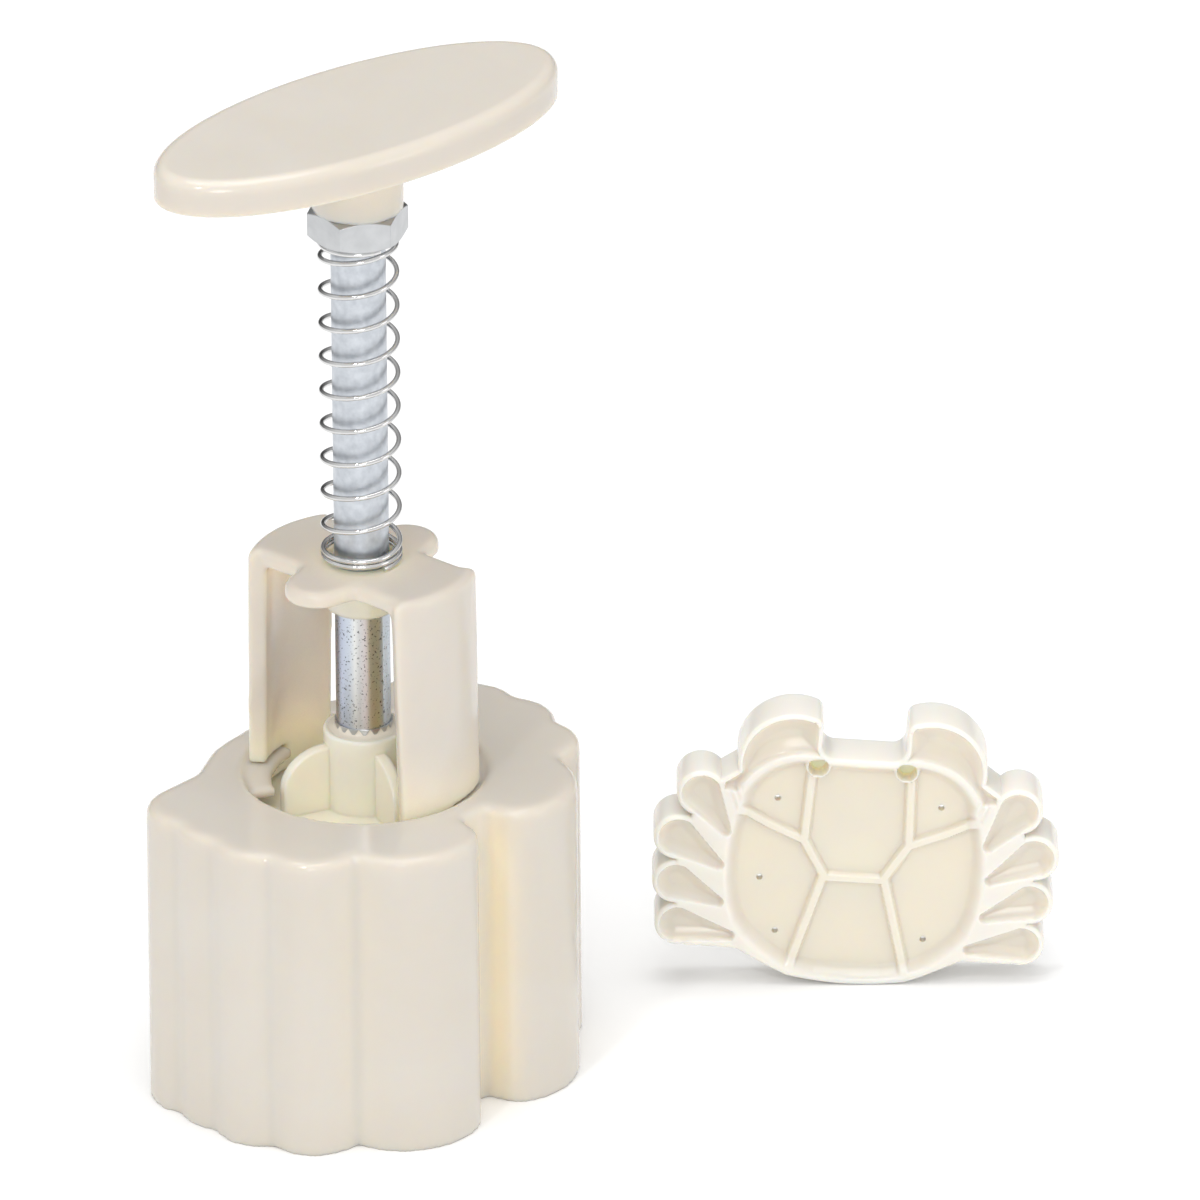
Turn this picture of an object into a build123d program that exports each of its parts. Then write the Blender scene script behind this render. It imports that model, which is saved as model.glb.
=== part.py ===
from build123d import *
import os
from math import acos, atan2, cos, degrees, radians, sin

# Hand press for moulding filled pastries: a crab-shaped mould, a spring-loaded
# plunger that runs in a guide cage, and a loose crab stamp that plugs onto the
# plunger. Millimetres, +Z up. The origin is on the plunger's axis, on the plane
# that the mould's open mouth stands on. +X points to the crab's claws.

# ---- crab: measures from its centre line (side) and towards the claws (ahead)
LEG_TIPS = [(29.0, 14.2, 4.6), (32.6, 5.0, 4.6), (32.4, -4.1, 4.4), (31.5, -12.7, 4.3)]
BODY_HALF = [(12.7, 22.9), (22.0, 20.0), (26.0, 17.1), (30.6, 9.6),
             (32.9, 0.4), (32.3, -8.4), (30.1, -17.0)]
TAIL_HALF = [(22.2, -12.7), (20.6, -17.1), (14.2, -20.5), (11.1, -21.9)]
TAIL_END = -23.0             # ahead of the tail's lowest point
CLAW_SIDE = 12.6             # centre of the claw's round back
CLAW_AHEAD = 21.1
CLAW_RADIUS = 10.3
CLAW_INNER = 7.7             # side of the claw's straight inner flank
CLAW_CORNER = 2.1            # rounding where flank and back meet
RECESS_FILLET = 2.5          # between the claw's flank and the body, on the stamp

# ---- mould
MOULD_HEIGHT = 59.1
MOULD_WALL = 4.0
STAMP_GAP = 0.4              # between the stamp and the mould's wall
DECK = 3.4                   # thickness of the mould's closed top
DECK_EDGE = 0.9              # rounding of its outer edge
HOLE_RADIUS = 22.3
TAB_RADIUS = 16.7            # inner edge of the two bayonet tabs in the hole
TAB_THICKNESS = 2.0
TAB_SPAN = 59.0              # degrees; a tab starts under the middle of a leg

# ---- guide cage: heights above the mould's top
CAGE_TURN = 2.2              # degrees from +X to the middle of a leg
CAGE_TOP = MOULD_HEIGHT + 42.1
CAGE_RADIUS = 21.0           # outside, at the top
CAGE_DRAFT = 0.0125          # the wall widens this much per mm downwards
CAGE_WALL = 3.3
CAGE_EDGE = 1.5              # rounding of its top edges
PLATE = 3.0
LEG_HALF_ANGLE = 32.0        # at the plate
WINDOW_DRAFT = 1.1           # degrees; the windows between the legs widen downwards
PLATE_HALF_WIDTH = 9.7
EAR_REACH = 18.1
EAR_HALF_WIDTH = 6.1         # of its round end
EAR_ROOT = 7.0               # half width where it leaves the plate
BOSS_RADIUS = 6.8
BOSS_LENGTH = 6.4            # under the plate
FOOT = MOULD_HEIGHT - 6.5    # underside of the cage's feet
BAYONET_GAP = 0.15           # above and below a tab in its slot
LOCK_GAP = 1.0               # degrees between a tab's end and the foot that it stops

# ---- rod, nut, spring, handle
ROD_RADIUS = 5.0
ROD_RUNNING_GAP = 0.08       # rod in the cage's bore
ROD_SEAT_GAP = 0.02          # rod in the hub, the nut and the handle
ROD_END = 1.0                # chamfer
NUT_FLATS = 16.0
NUT_LOW = MOULD_HEIGHT + 106.7
NUT_HEIGHT = 6.0
NUT_TURN = -6.5              # degrees from +X to a corner
WIRE = 1.0
WIRE_CORNER = 0.527 * WIRE   # corner radius of the octagon with the wire's area
SPRING_SEAT_GAP = 0.05
COIL_RADIUS = 6.95
CLOSED_TURNS_LOW = 2
OPEN_TURNS = 9
CLOSED_TURNS_HIGH = 1
CLOSED_PITCH = 1.05
HANDLE_LENGTH = 87.4
HANDLE_WIDTH = 37.4
HANDLE_LOW = MOULD_HEIGHT + 125.0
HANDLE_THICKNESS = 6.5
HANDLE_EDGE = 2.3
HANDLE_TURN = 81.5           # degrees from +X to the handle's long axis
NECK_RADIUS_HIGH = 8.5
NECK_RADIUS_LOW = 8.3
NECK_FILLET = 1.3
ROD_HIGH = HANDLE_LOW + 2.6

# ---- plunger carrier
HUB_RADIUS = 7.4
HUB_TOP = MOULD_HEIGHT + 8.4
FIN_TOP = MOULD_HEIGHT + 5.8
FIN_SHOULDER = MOULD_HEIGHT - 1.6   # below this the fin's edge is upright
FIN_REACH = 16.2
FIN_THICKNESS = 2.1
FIN_ANGLES = [-23.0, 67.0, 157.0, 247.0]
DISC_RADIUS = 20.6
DISC_TOP = FOOT - 0.2        # just under the cage's feet
DISC_THICKNESS = 2.6
ROD_LOW = DISC_TOP + 1.0
SPIGOT_RADIUS = 6.3
SPIGOT_LENGTH = 5.2
SPIGOT_END = 0.6             # chamfer

# ---- stamp: stands on its tail's arc beside the mould, leaning a little to its right
STAMP_THICKNESS = 9.0
STAMP_FLOOR = 4.0            # of its face, over the hollow back
STAMP_SKIN = 2.1             # of its side wall
SOCKET_RADIUS = 6.35
SOCKET_WALL = 2.3
SOCKET_DEPTH = 5.4
RIB = 1.6
RIB_COUNT = 8
STAMP_TURN = 43.2            # degrees from +X to its side direction
STAMP_ASIDE = 89.2           # from the plunger's axis, along its side direction
STAMP_BEHIND = 35.7          # of its back, behind the plunger's axis
STAMP_LEAN = 4.4             # degrees

# ---- stamp's carved face: side and ahead of the crab's centre, depths below the rim
SHELL_DEPTH = 2.3
SHELL_SIDE = [(0, -22.1), (6.3, -21.8), (11.0, -20.7), (19.7, -14.7), (23.4, -5.8),
              (24.0, 1.1), (21.9, 11.9)]
CLAW_ARC = (10.0, 10.0)      # centre of the rim between shell and claw
CLAW_ARC_RADIUS = 12.0       # on the shell's side
CLAW_RIM = 1.2               # width of that rim
CLAW_DEPTH = 2.3
LEG_DEPTH = 2.1
LEG_ROOTS = [(24.0, 6.8), (24.9, 0.0), (24.5, -7.6), (22.0, -14.4)]
LEG_ROOT_RADIUS = 1.4
LEG_RIM = 0.8                # width of the rim round a leg's tip
RIDGES = [((9.1, 22.5), (9.6, 5.5)), ((22.6, 12.3), (9.6, 5.4)),
          ((9.6, 5.4), (5.3, -1.9)), ((5.8, -2.0), (11.2, -22.2))]
CROSS_RIDGE = 5.6            # half length of the ridge across the shell
RIDGE_HEIGHT = 1.2
RIDGE_WIDTH = 1.3            # at its crest
EYE = (8.1, 20.9)
EYE_RADIUS = 1.85
EYE_DEPTH = 3.2


def mirrored(half):
    """Close a half outline by its mirror image in the centre line."""
    return half + [(-side, ahead) for side, ahead in reversed(half)]


def claw(grow):
    """One claw: a round back with a straight inner flank, grown all round."""
    core = Pos(CLAW_SIDE, CLAW_AHEAD) * Circle(CLAW_RADIUS - CLAW_CORNER)
    flank = CLAW_INNER + CLAW_CORNER
    beyond = Pos(flank - CLAW_RADIUS, CLAW_AHEAD) * Rectangle(2 * CLAW_RADIUS, 3 * CLAW_RADIUS)
    core = core - beyond
    if CLAW_CORNER + grow <= 0:
        return core
    return offset(core, CLAW_CORNER + grow)


def recess_fillet(grow):
    """Filling of the corner between a claw's inner flank and the body."""
    side = CLAW_INNER - RECESS_FILLET
    ahead = BODY_HALF[0][1] + RECESS_FILLET
    size = RECESS_FILLET - grow + 1
    corner = Pos(side + size / 2, ahead - size / 2) * Rectangle(size, size)
    return corner - Pos(side, ahead) * Circle(RECESS_FILLET - grow)


def tail(grow):
    """The crab's tail, which ends in a flat arc."""
    low = TAIL_HALF[-1]
    sides = Polyline(mirrored(list(reversed(TAIL_HALF))))
    end = ThreePointArc(low, (0, TAIL_END), (-low[0], low[1]))
    outline = make_face([*sides.edges(), end])
    return offset(outline, grow) if grow else outline


def crab_body(grow):
    """Outlines of body, tail and claws without the legs' round tips, grown all round."""
    body = make_face(Polyline(mirrored(BODY_HALF), close=True))
    if grow:
        body = offset(body, grow)
    right = [claw(grow)]
    if grow < RECESS_FILLET:
        right.append(recess_fillet(grow))
    return [body, tail(grow), *right, *[mirror(shape, Plane.YZ) for shape in right]]


def crab_shapes(grow):
    """All outlines of the crab seen from its face, claws towards +Y, grown all round."""
    tips = [Pos(hand * side, ahead) * Circle(radius + grow)
            for side, ahead, radius in LEG_TIPS for hand in (1, -1)]
    return crab_body(grow) + tips


def crab_block(grow, height, edge=0):
    """Upright crab-shaped block; edge rounds its top, shape by shape."""
    block = Part()
    for shape in crab_shapes(grow):
        prism = extrude(shape, height)
        if edge:
            prism = fillet(prism.edges().group_by(Axis.Z)[-1], edge)
        block += prism
    return block


def ring_sector(inner, outer, low, high, start, span):
    """Part of a ring about Z between two radii, two heights and two angles."""
    section = Pos((inner + outer) / 2, (low + high) / 2) * Rectangle(outer - inner, high - low)
    return Rot(0, 0, start) * revolve(Plane.XZ * section, Axis.Z, span)


def mould_barrel():
    """Crab-shaped tube with a closed top and a round hole for the guide cage."""
    ahead_to_x = Rot(0, 0, -90)
    outside = ahead_to_x * crab_block(STAMP_GAP + MOULD_WALL, MOULD_HEIGHT, DECK_EDGE)
    cavity = ahead_to_x * crab_block(STAMP_GAP, MOULD_HEIGHT - DECK)
    hole = Cylinder(HOLE_RADIUS, 2 * MOULD_HEIGHT + 2)
    shell = outside - cavity - hole
    tab_low = MOULD_HEIGHT - DECK
    for turn in (0, 180):
        shell += ring_sector(TAB_RADIUS, HOLE_RADIUS + 0.3, tab_low, tab_low + TAB_THICKNESS,
                             CAGE_TURN + LOCK_GAP + turn, TAB_SPAN)
    return shell


def cage_section():
    """Half section of the cage: a drafted wall under a flat plate."""
    foot_radius = CAGE_RADIUS + CAGE_DRAFT * (CAGE_TOP - FOOT)
    plate_low = CAGE_TOP - PLATE
    points = [(0, CAGE_TOP), (CAGE_RADIUS, CAGE_TOP), (foot_radius, FOOT),
              (foot_radius - CAGE_WALL, FOOT), (CAGE_RADIUS - CAGE_WALL, plate_low), (0, plate_low)]
    section = make_face(Polyline(points, close=True))
    outer_corner = section.vertices().sort_by_distance((CAGE_RADIUS, CAGE_TOP))[0]
    section = fillet(outer_corner, CAGE_EDGE)
    inner_corner = section.vertices().sort_by_distance((CAGE_RADIUS - CAGE_WALL, plate_low))[0]
    return fillet(inner_corner, CAGE_EDGE)


def leg_corner(reach, side=1):
    """Point on the edge between a leg and a window, as seen from above."""
    angle = radians(LEG_HALF_ANGLE)
    return (reach * cos(angle), side * reach * sin(angle))


def rounded_block(outline, low, edges):
    """Upright block up to the cage's top, with the chosen edges of its top rounded."""
    block = Pos(0, 0, low) * extrude(outline, CAGE_TOP - low)
    top = block.edges().group_by(Axis.Z)[-1]
    return fillet(edges(top), CAGE_EDGE)


def cage_bar():
    """Bar across the cage, under which the legs stand."""
    outline = Rectangle(2 * CAGE_RADIUS, 2 * PLATE_HALF_WIDTH)
    return rounded_block(outline, FOOT, lambda top: top.filter_by(Axis.X))


def cage_leg():
    """Wedge that holds one leg; the cage's round wall limits it outside."""
    inner, outer = BOSS_RADIUS + 1, CAGE_RADIUS + 5
    corners = [leg_corner(inner), leg_corner(outer), leg_corner(outer, -1), leg_corner(inner, -1)]
    outline = make_face(Polyline(corners, close=True))
    return rounded_block(outline, FOOT, lambda top: top - top.filter_by(Axis.Y))


def cage_ear():
    """Ear beside the bore: its flanks taper to a round end."""
    end = EAR_REACH - EAR_HALF_WIDTH
    root = Polygon((-EAR_ROOT, 0), (EAR_ROOT, 0), (EAR_ROOT, PLATE_HALF_WIDTH), (EAR_HALF_WIDTH, end),
                   (-EAR_HALF_WIDTH, end), (-EAR_ROOT, PLATE_HALF_WIDTH), align=None)
    outline = root + Pos(0, end) * Circle(EAR_HALF_WIDTH)
    return rounded_block(outline, CAGE_TOP - PLATE, lambda top: top - top.filter_by(Axis.X))


def window():
    """Space between the two legs on one side, under the plate."""
    near = leg_corner(2 * CAGE_RADIUS)
    face = make_face(Polyline((0, 0), near, (-near[0], near[1]), close=True))
    plate_low = CAGE_TOP - PLATE
    return extrude(Pos(0, 0, plate_low) * face, FOOT - 1 - plate_low, taper=-WINDOW_DRAFT)


def guide_cage():
    """Guide cage: plate with a bore for the rod, two legs, bayonet slots in its feet."""
    kept = cage_bar()
    for turn in (0, 180):
        kept += Rot(0, 0, turn) * cage_leg()
        kept += Rot(0, 0, turn) * cage_ear()
    solid = revolve(Plane.XZ * cage_section(), Axis.Z) & kept
    solid = solid - window() - Rot(0, 0, 180) * window()
    boss_low = CAGE_TOP - PLATE - BOSS_LENGTH
    solid += Pos(0, 0, boss_low) * extrude(Circle(BOSS_RADIUS), BOSS_LENGTH)
    solid -= Pos(0, 0, CAGE_TOP) * Cylinder(ROD_RADIUS + ROD_RUNNING_GAP, 4 * PLATE + 4 * BOSS_LENGTH)
    tab_low = MOULD_HEIGHT - DECK
    slot_low = tab_low - BAYONET_GAP
    slot_high = tab_low + TAB_THICKNESS + BAYONET_GAP
    for turn in (0, 180):
        solid -= ring_sector(TAB_RADIUS - 1, HOLE_RADIUS + 1, slot_low, slot_high,
                             turn, LEG_HALF_ANGLE + 5)
    return Rot(0, 0, CAGE_TURN) * solid


def fin():
    """One fin of the plunger in the XZ plane: its top falls outwards as a quarter ellipse."""
    drop = FIN_TOP - FIN_SHOULDER
    reach = FIN_REACH - HUB_RADIUS
    crown = EllipticalCenterArc((HUB_RADIUS, FIN_SHOULDER), reach, drop, 0, arc_size=90)
    rest = Polyline((HUB_RADIUS, FIN_TOP), (ROD_RADIUS + 1, FIN_TOP), (ROD_RADIUS + 1, DISC_TOP),
                    (FIN_REACH, DISC_TOP), (FIN_REACH, FIN_SHOULDER))
    face = make_face([crown, *rest.edges()])
    return extrude(Plane.XZ * face, FIN_THICKNESS / 2, both=True)


def plunger_carrier():
    """Plunger: a disc with a hub for the rod above it, four fins and a spigot below."""
    disc_low = DISC_TOP - DISC_THICKNESS
    disc = Pos(0, 0, disc_low) * extrude(Circle(DISC_RADIUS), DISC_THICKNESS)
    disc = fillet(disc.edges(), 0.4)
    hub = Pos(0, 0, DISC_TOP - 0.5) * extrude(Circle(HUB_RADIUS), HUB_TOP - DISC_TOP + 0.5)
    hub = fillet(hub.edges().group_by(Axis.Z)[-1], 0.5)
    solid = disc + hub
    for angle in FIN_ANGLES:
        solid += Rot(0, 0, angle) * fin()
    solid -= Pos(0, 0, ROD_LOW) * extrude(Circle(ROD_RADIUS + ROD_SEAT_GAP), HUB_TOP)
    spigot = extrude(Circle(SPIGOT_RADIUS), SPIGOT_LENGTH)
    spigot = chamfer(spigot.edges().group_by(Axis.Z)[0], SPIGOT_END)
    return solid + Pos(0, 0, disc_low - SPIGOT_LENGTH) * spigot


def push_rod():
    """Steel rod with chamfered ends, from the hub up into the handle's neck."""
    rod = Pos(0, 0, ROD_LOW) * extrude(Circle(ROD_RADIUS), ROD_HIGH - ROD_LOW)
    return chamfer(rod.edges().filter_by(GeomType.CIRCLE), ROD_END)


def jam_nut():
    """Thin hexagon nut under the handle's neck, its corners turned off at 30 degrees."""
    hexagon = RegularPolygon(NUT_FLATS / 2, 6, major_radius=False)
    across = Rot(0, 0, NUT_TURN) * hexagon
    corner = NUT_FLATS / 2 / cos(radians(30))
    cut = corner - NUT_FLATS / 2 * 0.97
    section = Polyline((0, 0), (corner - cut, 0), (corner, cut * 0.577), (corner, NUT_HEIGHT - cut * 0.577),
                       (corner - cut, NUT_HEIGHT), (0, NUT_HEIGHT), close=True)
    turned = revolve(Plane.XZ * make_face(section), Axis.Z)
    nut = (extrude(across, NUT_HEIGHT) & turned) - Cylinder(ROD_RADIUS + ROD_SEAT_GAP, 3 * NUT_HEIGHT)
    return Pos(0, 0, NUT_LOW) * nut


def coil(pitch, turns, low):
    """Stretch of a right-hand coil; an eight-sided wire keeps its faces few."""
    path = Pos(0, 0, low) * Helix(pitch, pitch * turns, COIL_RADIUS)
    path = path.edges()[0]
    section = Plane(origin=path @ 0, z_dir=path % 0) * RegularPolygon(WIRE_CORNER, 8)
    return sweep(section, path=path, is_frenet=True)


def return_spring():
    """Compression spring with closed ends, from the cage's plate up to the nut."""
    low = CAGE_TOP + WIRE / 2 + SPRING_SEAT_GAP
    open_low = low + CLOSED_TURNS_LOW * CLOSED_PITCH
    open_high = NUT_LOW - WIRE / 2 - SPRING_SEAT_GAP - CLOSED_TURNS_HIGH * CLOSED_PITCH
    open_pitch = (open_high - open_low) / OPEN_TURNS
    solid = coil(CLOSED_PITCH, CLOSED_TURNS_LOW, low)
    solid += coil(open_pitch, OPEN_TURNS, open_low)
    return solid + coil(CLOSED_PITCH, CLOSED_TURNS_HIGH, open_high)


def handle():
    """Oval palm plate, rounded round its top, on a round neck that takes the rod."""
    plate = extrude(Ellipse(HANDLE_LENGTH / 2, HANDLE_WIDTH / 2), HANDLE_THICKNESS)
    plate = fillet(plate.edges().group_by(Axis.Z)[-1], HANDLE_EDGE)
    neck_low = NUT_LOW + NUT_HEIGHT
    neck_height = HANDLE_LOW - neck_low
    neck = Cone(NECK_RADIUS_LOW, NECK_RADIUS_HIGH, neck_height, align=(Align.CENTER, Align.CENTER, Align.MIN))
    solid = Pos(0, 0, HANDLE_LOW) * (Rot(0, 0, HANDLE_TURN) * plate) + Pos(0, 0, neck_low) * neck
    junction = solid.edges().filter_by(GeomType.CIRCLE).group_by(Axis.Z)[-1]
    solid = fillet(junction, NECK_FILLET)
    bore = extrude(Circle(ROD_RADIUS + ROD_SEAT_GAP), ROD_HIGH + 0.5 - neck_low)
    return solid - Pos(0, 0, neck_low) * bore


def hollow(outline, depth, edge):
    """Cutter for a hollow in the stamp's face, rounded round its floor."""
    cutter = Pos(0, 0, STAMP_THICKNESS - depth) * extrude(outline, depth + 1)
    return fillet(cutter.edges().group_by(Axis.Z)[0], edge)


def leg_hollow(tip, tip_radius, root):
    """Drop-shaped hollow of one leg, from its round tip to its narrow root."""
    axis = Vector(*root) - Vector(*tip)
    heading = atan2(axis.Y, axis.X)
    lean = acos((tip_radius - LEG_ROOT_RADIUS) / axis.length)

    def on_circle(centre, radius, angle):
        return (centre[0] + radius * cos(angle), centre[1] + radius * sin(angle))

    left, right = heading + lean, heading - lean
    tip_left, root_left = on_circle(tip, tip_radius, left), on_circle(root, LEG_ROOT_RADIUS, left)
    tip_right, root_right = on_circle(tip, tip_radius, right), on_circle(root, LEG_ROOT_RADIUS, right)
    tip_end = on_circle(tip, -tip_radius, heading)
    root_end = on_circle(root, LEG_ROOT_RADIUS, heading)
    outline = make_face([Line(tip_left, root_left), ThreePointArc(root_left, root_end, root_right),
                         Line(root_right, tip_right), ThreePointArc(tip_right, tip_end, tip_left)])
    return hollow(outline, LEG_DEPTH, 0.8 * LEG_ROOT_RADIUS)


def shell_hollow():
    """Bowl of the crab's shell; two arcs cut its front corners out for the claws."""
    arc = [(CLAW_ARC[0] + CLAW_ARC_RADIUS * cos(radians(angle)),
            CLAW_ARC[1] + CLAW_ARC_RADIUS * sin(radians(angle))) for angle in (9, 50, 93)]
    tail_end, tail_side, tail_corner, flank_low, flank, flank_high, front = SHELL_SIDE
    half = [ThreePointArc(tail_end, tail_side, tail_corner),
            ThreePointArc(tail_corner, flank_low, flank),
            ThreePointArc(flank, flank_high, arc[0]),
            ThreePointArc(*arc),
            Line(arc[2], (0, arc[2][1] - 0.1))]
    outline = make_face(half + [mirror(edge, Plane.YZ) for edge in half])
    return hollow(outline, SHELL_DEPTH, 1.2)


def ridge(start, end):
    """Raised line on the shell's floor, with sloping flanks."""
    line = Vector(*end) - Vector(*start)
    crest, root = RIDGE_WIDTH / 2, RIDGE_WIDTH / 2 + 0.4
    section = Polygon((-root, 0), (root, 0), (crest, RIDGE_HEIGHT), (-crest, RIDGE_HEIGHT), align=None)
    bar = extrude(Plane.YZ * section, line.length)
    heading = degrees(atan2(line.Y, line.X))
    return Pos(*start, STAMP_THICKNESS - SHELL_DEPTH) * (Rot(0, 0, heading) * bar)


def claw_hollow():
    """Hollow of the right claw, outside the rim that runs round the shell."""
    rim = Pos(*CLAW_ARC) * Circle(CLAW_ARC_RADIUS + CLAW_RIM)
    pieces = (claw(-LEG_RIM) - rim).faces().sort_by(SortBy.AREA)
    return hollow(pieces[-1], CLAW_DEPTH, 1.0)


def carved_face():
    """Everything that is carved out of the stamp's face, on both sides."""
    right = [leg_hollow((side, ahead), radius - LEG_RIM, root)
             for (side, ahead, radius), root in zip(LEG_TIPS, LEG_ROOTS)]
    right.append(claw_hollow())
    right.append(Pos(*EYE, STAMP_THICKNESS - EYE_DEPTH) * extrude(Circle(EYE_RADIUS), EYE_DEPTH + 1))
    lines = [ridge(start, end) for start, end in RIDGES]
    lines += [mirror(line, Plane.YZ) for line in lines]
    lines.append(ridge((-CROSS_RIDGE, RIDGES[2][1][1]), (CROSS_RIDGE, RIDGES[2][1][1])))
    shell = shell_hollow() - (Part() + lines)
    return [shell, *right, *[mirror(cutter, Plane.YZ) for cutter in right]]


def resting_height(lean):
    """Height of the crab's centre while it stands on its tail's arc."""
    half_chord, rise = TAIL_HALF[-1][0], TAIL_HALF[-1][1] - TAIL_END
    arc_radius = (half_chord ** 2 + rise ** 2) / (2 * rise)
    return arc_radius - (TAIL_END + arc_radius) * cos(lean)


def crab_stamp():
    """Crab stamp: a carved plate with a side wall, hollow behind, with a ribbed socket."""
    depth = STAMP_THICKNESS - STAMP_FLOOR
    solid = crab_block(0, STAMP_THICKNESS)
    for cutter in carved_face():
        solid -= cutter
    back = Part() + [extrude(shape, depth) for shape in crab_body(-STAMP_SKIN)]
    ribs = extrude(Circle(SOCKET_RADIUS + SOCKET_WALL), depth)
    for number in range(RIB_COUNT):
        angle = 360 / RIB_COUNT * (number + 0.5)
        ribs += Rot(0, 0, angle) * (Pos(25, 0, depth / 2) * Box(50, RIB, depth))
    solid -= back - ribs
    solid -= extrude(Circle(SOCKET_RADIUS), SOCKET_DEPTH)
    turn, lean = radians(STAMP_TURN), radians(STAMP_LEAN)
    aside = Vector(cos(turn), sin(turn), 0)
    forward = Vector(sin(turn), -cos(turn), 0)
    place = aside * STAMP_ASIDE - forward * STAMP_BEHIND + Vector(0, 0, resting_height(lean))
    across = aside * cos(lean) - Vector(0, 0, sin(lean))
    return Plane(origin=place, x_dir=across, z_dir=forward) * solid


PIECES = {
    "mould_barrel": mould_barrel,
    "guide_cage": guide_cage,
    "plunger_carrier": plunger_carrier,
    "push_rod": push_rod,
    "return_spring": return_spring,
    "jam_nut": jam_nut,
    "handle": handle,
    "crab_stamp": crab_stamp,
}

os.makedirs("parts", exist_ok=True)
for name, make in PIECES.items():
    piece = make()
    export_step(piece, f"parts/{name}.step")
    print(name, "solids", len(piece.solids()), "volume", round(piece.volume), "mm3")
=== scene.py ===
import bpy
import bmesh
import math
import numpy as np
from mathutils import Matrix, Vector, geometry
from mathutils.bvhtree import BVHTree


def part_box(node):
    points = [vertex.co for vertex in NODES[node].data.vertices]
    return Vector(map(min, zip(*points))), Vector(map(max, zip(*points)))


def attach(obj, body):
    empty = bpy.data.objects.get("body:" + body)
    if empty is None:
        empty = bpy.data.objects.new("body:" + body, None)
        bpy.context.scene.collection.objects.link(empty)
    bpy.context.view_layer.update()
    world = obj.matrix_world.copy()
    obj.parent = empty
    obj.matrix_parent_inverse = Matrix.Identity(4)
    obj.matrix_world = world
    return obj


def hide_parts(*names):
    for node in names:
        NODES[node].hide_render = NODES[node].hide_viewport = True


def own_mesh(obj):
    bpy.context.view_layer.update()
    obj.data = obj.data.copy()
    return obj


# %% [markdown]
# The object is a hand press for filled pastries. A crab-shaped mould stands mouth
# down, a sprung plunger runs in a guide cage on top of it, and a loose stamp stands
# beside it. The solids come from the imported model, so this file adds only looks:
# materials, small details, light and a camera. Everything is in metres.

# %% Load the frame
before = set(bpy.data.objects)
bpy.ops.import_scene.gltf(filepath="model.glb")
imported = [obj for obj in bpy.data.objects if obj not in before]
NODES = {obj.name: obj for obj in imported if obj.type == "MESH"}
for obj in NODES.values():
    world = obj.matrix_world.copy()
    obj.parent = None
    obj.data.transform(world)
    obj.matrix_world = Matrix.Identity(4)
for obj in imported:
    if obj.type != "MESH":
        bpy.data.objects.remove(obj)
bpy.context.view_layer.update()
print("nodes:", ", ".join(sorted(NODES)))
for name in sorted(NODES):
    low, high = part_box(name)
    print(f"{name:16s} z {low[2] * 1000:6.1f} to {high[2] * 1000:6.1f} mm")

# %% [markdown]
# Heights that the added pieces need are read from the solids, so that they stay
# right if the press is built a little taller. The stamp's face, the bands on the bar,
# the camera and the light all share one heading, so it is named here too.

# %% Heights, radii and directions
MM = 0.001
rod_low, rod_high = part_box("push_rod")
ROD_RADIUS = (rod_high[0] - rod_low[0]) / 2
PLATE_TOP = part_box("guide_cage")[1][2]
DECK_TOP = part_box("mould_barrel")[1][2]
HUB_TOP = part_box("plunger_carrier")[1][2]
NUT_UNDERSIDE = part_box("jam_nut")[0][2]

HEADING = math.radians(43.2)
ASIDE = Vector((math.cos(HEADING), math.sin(HEADING), 0))
FORWARD = Vector((math.sin(HEADING), -math.cos(HEADING), 0))
UP = Vector((0, 0, 1))
print(f"spring stands from {PLATE_TOP / MM:.1f} to {NUT_UNDERSIDE / MM:.1f} mm")


# %% [markdown]
# A material is a small graph. These helpers add a node, join two sockets and make
# the steps that every finish here is built from: clouds, a ramp that turns a value
# into colours, one colour times another, a stretched value and a fine bump. The
# clouds read Object coordinates, which are metres.

# %% Material helpers
MIX_SHARE, MIX_A, MIX_B, MIX_RESULT = 0, 6, 7, 2     # a colour Mix node's sockets


def add(tree, kind, **values):
    node = tree.nodes.new(kind)
    for key, value in values.items():
        if hasattr(node, key):
            setattr(node, key, value)
        else:
            node.inputs[key].default_value = value
    return node


def join(tree, out_node, out_socket, in_node, in_socket):
    tree.links.new(out_node.outputs[out_socket], in_node.inputs[in_socket])


def new_material(name):
    material = bpy.data.materials.new(name)
    material.use_nodes = True
    tree = material.node_tree
    shader = tree.nodes["Principled BSDF"]
    place = add(tree, "ShaderNodeTexCoord")
    return material, tree, shader, place


def cloud(tree, place, scale, detail=3.0, distortion=0.0):
    noise = add(tree, "ShaderNodeTexNoise", Scale=scale, Detail=detail, Distortion=distortion)
    join(tree, place, "Object", noise, "Vector")
    return noise


def ramp(tree, source, stops, output="Fac"):
    """Turns a value into a colour, by stops of (value, colour)."""
    node = add(tree, "ShaderNodeValToRGB")
    band = node.color_ramp
    band.elements[0].position, band.elements[0].color = stops[0]
    band.elements[1].position, band.elements[1].color = stops[-1]
    for position, colour in stops[1:-1]:
        band.elements.new(position).color = colour
    join(tree, source, output, node, "Fac")
    return node


def times(tree, first, output, second):
    """One colour multiplied by the colour of a ramp."""
    node = add(tree, "ShaderNodeMix", data_type="RGBA", blend_type="MULTIPLY")
    node.inputs[MIX_SHARE].default_value = 1.0
    join(tree, first, output, node, MIX_A)
    join(tree, second, "Color", node, MIX_B)
    return node


def between(tree, source, output, low, high, to_low=0.0, to_high=1.0):
    """Stretches a value from low..high to to_low..to_high."""
    node = add(tree, "ShaderNodeMapRange")
    join(tree, source, output, node, "Value")
    for socket, value in (("From Min", low), ("From Max", high),
                          ("To Min", to_low), ("To Max", to_high)):
        node.inputs[socket].default_value = value
    return node


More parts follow.
